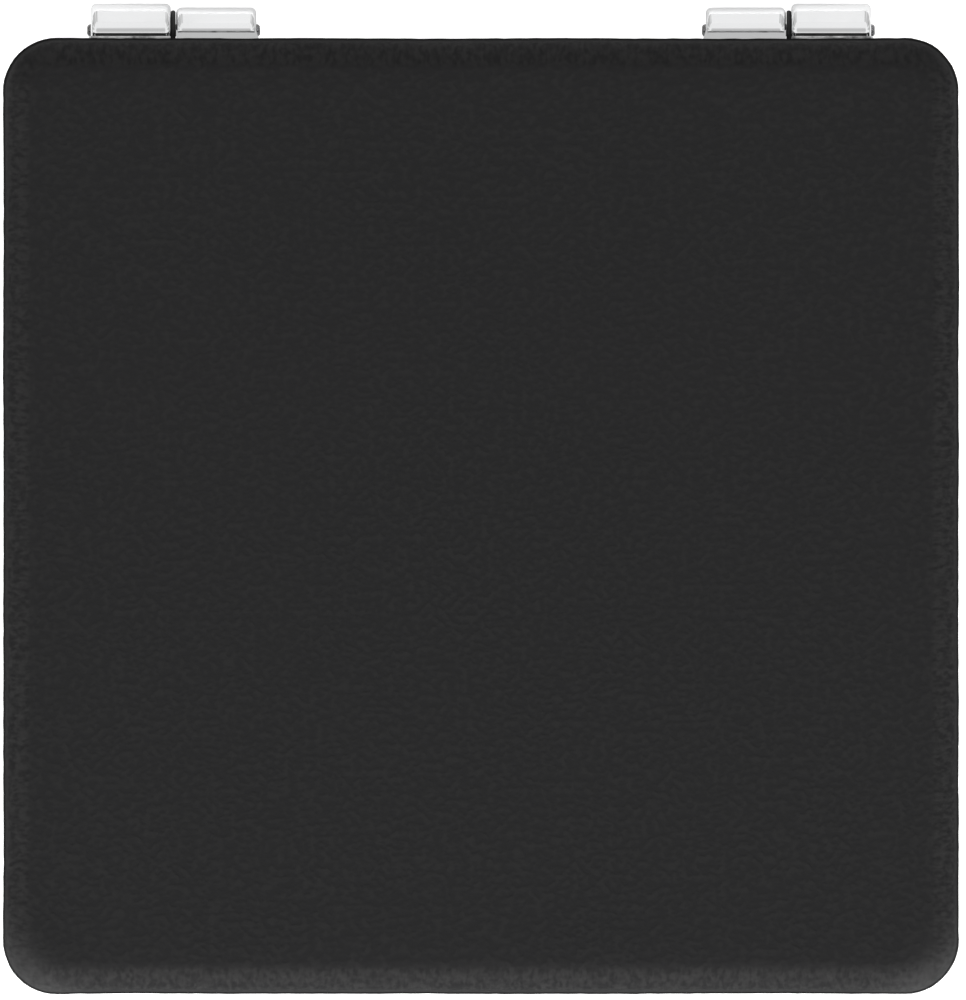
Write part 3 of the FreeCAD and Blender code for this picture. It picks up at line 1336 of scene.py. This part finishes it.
@dataclass
class Pin(HingePart):
    """Hinge pin with peened ends."""

    kind = "pin"
    slot = "pin_steel"
    facets: int = 40
    end_radius: float = 0.2
    end_facets: int = 4

    def build(self) -> BMesh:
        """Cuts the wire and rounds its ends.

        Returns:
            A closed solid.
        """
        low, high = self.box()
        length = high.x - low.x
        bm = rod((high.z - low.z) / 2, length, self.facets)
        ends = edges_at(bm, length / 2) + edges_at(bm, -length / 2)
        round_edges(bm, ends, self.end_radius, self.end_facets)
        return along_hinge(bm, (low.x + high.x) / 2)


@dataclass
class Washer(HingePart):
    """Friction washer between the knuckles of a hinge."""

    kind = "washer"
    # Its near-black finish fills the gap between the knuckles with painted shade.
    slot = "washer_nylon"
    facets: int = 64
    edge_radius: float = 0.12
    edge_facets: int = 3

    def build(self) -> BMesh:
        """Moulds the ring.

        Returns:
            A closed solid.
        """
        low, high = self.box()
        radius = (high.z - low.z) / 2
        bm = rod(radius, high.x - low.x, self.facets)
        wall = radius - HingeLayout.pin_radius()
        bmesh.ops.inset_region(bm, faces=round_ends(bm), thickness=wall, use_even_offset=True)
        bores = round_ends(bm)
        rings = [e for f in bores for e in f.edges]
        bmesh.ops.delete(bm, geom=bores, context="FACES_ONLY")
        bmesh.ops.bridge_loops(bm, edges=rings)
        bmesh.ops.recalc_face_normals(bm, faces=bm.faces)
        rims = [e for e in bm.edges if e.calc_face_angle(0.0) > SHARP_BEND]
        round_edges(bm, rims, self.edge_radius, self.edge_facets)
        return along_hinge(bm, (low.x + high.x) / 2)


@dataclass(frozen=True)
class Lamp:
    """Soft light that faces the case: its place and size in metres and its power in watts."""

    name: str
    place: Triple
    size: Span
    watts: float

    def hang(self) -> None:
        """Puts the light in the scene, where neither the camera nor the chrome shows it."""
        lamp = bpy.data.lights.new(self.name, "AREA")
        lamp.shape = "RECTANGLE"
        lamp.size, lamp.size_y = self.size
        lamp.energy = self.watts
        light = bpy.data.objects.new(self.name, lamp)
        light.location = self.place
        light.rotation_euler = (-Vector(self.place)).to_track_quat("-Z", "Y").to_euler()
        light.visible_camera = False
        light.visible_glossy = False
        bpy.context.scene.collection.objects.link(light)


@dataclass
class Studio:
    """White table inside a round white screen, low soft lights round it and the camera above."""

    view_height: float = 2200.0
    frame_height: float = 65.0
    aim: Span = (0.13, 1.04)
    sensor_width: float = 36.0
    clip: Span = (0.01, 20.0)
    floor_size: float = 8.0
    floor_strips: int = 8
    floor_glow: float = 0.7
    floor_roughness: float = 0.6
    floor_tones: tuple[Colour, Colour] = ((0.80, 0.80, 0.80), (0.84, 0.84, 0.84))
    cloud_size: float = 900.0
    table_gap: float = 0.05
    bounce_glow: float = 0.02
    bounce_tones: tuple[Colour, Colour] = ((0.42, 0.42, 0.42), (0.82, 0.82, 0.82))
    bounce_near: Step = Step(15.0, 33.0)
    bounce_far: Step = Step(50.0, 120.0, 1.0, 0.5)
    screen_radius: float = 0.45
    screen_height: float = 0.6
    screen_facets: int = 128
    brightness: float = 0.94
    overhead: float = 0.6
    zenith: Span = (0.978, 1.0)
    diagonals: float = 0.7
    diagonal_start: float = 0.2
    panels: int = 20
    panel_gaps: Step = Step(-0.8, 0.3, 0.6, 1.0)
    low_sides: Step = Step(0.0, 250.0, 0.35, 1.0)
    back_wall: Step = Step(50.0, 300.0)
    lamps: tuple[Lamp, ...] = (
        Lamp("front", (0.0, -0.26, 0.085), (0.3, 0.08), 0.9),
        Lamp("front_side", (-0.24, -0.22, 0.06), (0.12, 0.08), 1.65),
        Lamp("front_side", (0.24, -0.22, 0.06), (0.12, 0.08), 1.65),
        Lamp("back", (0.0, 0.3, 0.08), (0.3, 0.08), 0.62),
    )

    def build(self) -> None:
        """Sets up the table, the screen, the lights and the camera."""
        self.table()
        self.screen()
        self.surroundings()
        for lamp in self.lamps:
            lamp.hang()
        self.camera()
        settings = bpy.context.scene.view_settings
        settings.view_transform = "Standard"
        settings.look = "None"

    def table(self) -> None:
        """Lays the white table under the case, and just below it the one that throws light back."""
        shader = Shader("table_white")
        clouds = shader.noise(shader.place, self.cloud_size)
        shader.set(Base_Color=shader.blend(clouds, *self.floor_tones), Emission_Strength=self.floor_glow)
        seen = self.sheet("table", -self.table_gap * MM, shader)
        seen.visible_diffuse = False
        seen.visible_glossy = False
        seen.visible_shadow = False
        shader = Shader("table_shaded")
        depth = shader.axes(shader.place)["Y"]
        behind = shader.product(shader.ramp(depth, self.bounce_near), shader.ramp(depth, self.bounce_far))
        shader.set(
            Base_Color=shader.blend(behind, *self.bounce_tones),
            Emission_Strength=shader.product(behind, self.bounce_glow),
        )
        bounce = self.sheet("table_bounce", -2 * self.table_gap * MM, shader)
        bounce.visible_camera = False

    def sheet(self, name: str, height: float, shader: Shader) -> Object:
        """Lays one large pale sheet.

        Args:
            name: Name of the sheet.
            height: Where it lies, in metres.
            shader: Its finish.

        Returns:
            The sheet.
        """
        bm = bmesh.new()
        bmesh.ops.create_grid(
            bm, x_segments=self.floor_strips, y_segments=self.floor_strips, size=self.floor_size / 2
        )
        bmesh.ops.translate(bm, vec=(0.0, 0.0, height), verts=bm.verts)
        laid = as_object(bm, name)
        shader.set(Roughness=self.floor_roughness, Emission_Color=WHITE)
        laid.data.materials.append(shader.material)
        return laid

    def screen(self) -> None:
        """Stands a glowing screen round the table, dimmer at the diagonals and low in front."""
        bm = rod(self.screen_radius, self.screen_height, self.screen_facets)
        bmesh.ops.delete(bm, geom=round_ends(bm), context="FACES_ONLY")
        bmesh.ops.translate(bm, vec=(0.0, 0.0, self.screen_height / 2), verts=bm.verts)
        ring = as_object(bm, "screen")
        shader = Shader("screen_white")
        place = shader.axes(shader.place)
        square = shader.math(Sum.ABSOLUTE, shader.product(place["X"], place["Y"]))
        largest = (self.screen_radius / MM) ** 2 / 2
        aside = shader.ramp(square, Step(self.diagonal_start * largest, largest, 1.0, self.diagonals))
        turn = shader.math(Sum.BEARING, place["X"], place["Y"])
        panel = shader.math(Sum.COSINE, shader.product(turn, float(self.panels)))
        rising = shader.ramp(place["Z"], self.low_sides)
        behind = shader.ramp(place["Y"], self.back_wall)
        upward = shader.math(Sum.MAXIMUM, rising, behind)
        level = shader.product(aside, shader.ramp(panel, self.panel_gaps), upward, self.brightness)
        shader.set(Base_Color=BLACK, Emission_Color=WHITE, Emission_Strength=level)
        ring.data.materials.append(shader.material)
        ring.visible_camera = False

    def surroundings(self) -> None:
        """Lights the case from above the screen, with less from straight overhead."""
        world = bpy.data.worlds.new("surroundings")
        bpy.context.scene.world = world
        world.use_nodes = True
        sky = Nodes(world.node_tree)
        direction = sky.axes(sky.node("ShaderNodeTexCoord").outputs["Generated"])
        fade = Step(*self.zenith, self.brightness, self.brightness * self.overhead)
        light = world.node_tree.nodes["Background"]
        sky.feed(light.inputs["Color"], WHITE)
        sky.feed(light.inputs["Strength"], sky.ramp(direction["Z"], fade))

    def camera(self) -> None:
        """Hangs the camera straight above, with a long lens."""
        eye = bpy.data.cameras.new("eye")
        eye.sensor_width = self.sensor_width
        eye.lens = self.sensor_width * self.view_height / self.frame_height
        eye.clip_start, eye.clip_end = self.clip
        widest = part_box("lid_leather")[0].z / MM
        stand = bpy.data.objects.new("eye", eye)
        stand.location = (self.aim[0] * MM, self.aim[1] * MM, (widest + self.view_height) * MM)
        bpy.context.scene.collection.objects.link(stand)
        bpy.context.scene.camera = stand


@dataclass(frozen=True)
class Palette:
    """Every finish of the case."""

    leather: LeatherFinish = LeatherFinish()
    chrome: ChromeFinish = ChromeFinish()
    silvering: SilveringFinish = SilveringFinish()
    glass_edge: GlassEdgeFinish = GlassEdgeFinish()
    # Pin steel darkened: painted shade for the pin where it shows in the hinge.
    pin: DrawnMetalFinish = DrawnMetalFinish(
        "pin_steel", tone=(0.27, 0.27, 0.28), stain_and_shade_tone=(0.16, 0.155, 0.15), stretch=(0.08, 1.0, 1.0)
    )
    magnet: DrawnMetalFinish = DrawnMetalFinish(
        "magnet_nickel", tone=(0.66, 0.64, 0.60), stain_and_shade_tone=(0.50, 0.48, 0.45), stretch=(1.0, 0.1, 1.0)
    )
    # Dark metal that paints the shade inside the knuckle slots.
    slot_shade_finish: DrawnMetalFinish = DrawnMetalFinish(
        "chrome_slot_shade",
        tone=(0.13, 0.13, 0.13),
        stain_and_shade_tone=(0.08, 0.08, 0.08),
        stretch=(0.1, 1.0, 1.0),
        gloss=Step(0.3, 0.7, 0.44, 0.58),
    )
    # Grey metal streaked near black: painted shade on the ledges and step walls.
    crease_shade_finish: DrawnMetalFinish = DrawnMetalFinish(
        "chrome_crease_shade",
        tone=(0.6, 0.6, 0.6),
        stain_and_shade_tone=(0.05, 0.05, 0.05),
        stretch=(0.1, 1.0, 1.0),
        gloss=Step(0.3, 0.7, 0.29, 0.43),
    )
    # Near-black friction washers: real parts whose dark colour fills the hinge gap with painted shade.
    washer: FibreFinish = FibreFinish(
        "washer_nylon", (0.012, 0.012, 0.012), (0.02, 0.02, 0.02), fibre_size=0.12, relief=0.004
    )
    foam: FibreFinish = FibreFinish(
        "foam_grey", (0.24, 0.24, 0.25), (0.32, 0.32, 0.33), fibre_size=0.25, relief=0.05
    )
    board: FibreFinish = FibreFinish(
        "card_grey", (0.36, 0.34, 0.31), (0.46, 0.44, 0.40), fibre_size=0.3, relief=0.02
    )
    filler: FibreFinish = FibreFinish(
        "adhesive_card", (0.70, 0.67, 0.60), (0.78, 0.76, 0.71), fibre_size=0.3, relief=0.01
    )
    tape: FibreFinish = FibreFinish(
        "tape_white", (0.76, 0.76, 0.74), (0.83, 0.83, 0.82), fibre_size=0.2, relief=0.015
    )

    def dress_inside(self) -> None:
        """Gives the pieces that stay as they are inside the case their finishes."""
        finishes = {
            "foam": self.foam,
            "board": self.board,
            "filler_sheet": self.filler,
            "mirror_tape": self.tape,
        }
        for piece, finish in finishes.items():
            material = finish.material()
            for half in Half:
                node = frame["nodes"][half.node(piece)]
                node.data.materials.clear()
                node.data.materials.append(material)
                LOG.info("%s: dressed with %s", node.name, material.name)


def main() -> None:
    """Builds every piece in order."""
    logging.basicConfig(level=logging.INFO, format="%(message)s")
    palette = Palette()
    leather = palette.leather.material()
    plating = {
        Zone.PLATED: palette.chrome.material(),
        # Dark finishes that paint the shade in the knuckle slots, on the ledges and on the step walls.
        Zone.RECESS: palette.slot_shade_finish.material(),
        Zone.CREASE: palette.crease_shade_finish.material(),
    }
    silver = palette.silvering.material()
    glass_edge = palette.glass_edge.material()
    nickel = palette.magnet.material()
    # Pin steel darkened as painted shade.
    shaded_steel = palette.pin.material()
    # Near-black nylon that fills the hinge gaps with painted shade.
    nylon = palette.washer.material()
    hinges = HingeLayout()
    for half in Half:
        cover = Cover(half)
        cover.dress(cover.build(), leather)
        casting = Frame(half, hinges)
        casting.dress(casting.build(), plating)
        mirror = Mirror(half)
        mirror.dress(mirror.build(), silver, glass_edge)
        for side in Side:
            magnet = Magnet(half, side)
            magnet.dress(magnet.build(), nickel)
    for side in Side:
        pin = Pin(side)
        pin.dress(pin.build(), shaded_steel)
        washer = Washer(side)
        washer.dress(washer.build(), nylon)
    palette.dress_inside()
    Studio().build()


if __name__ == "__main__":
    main()
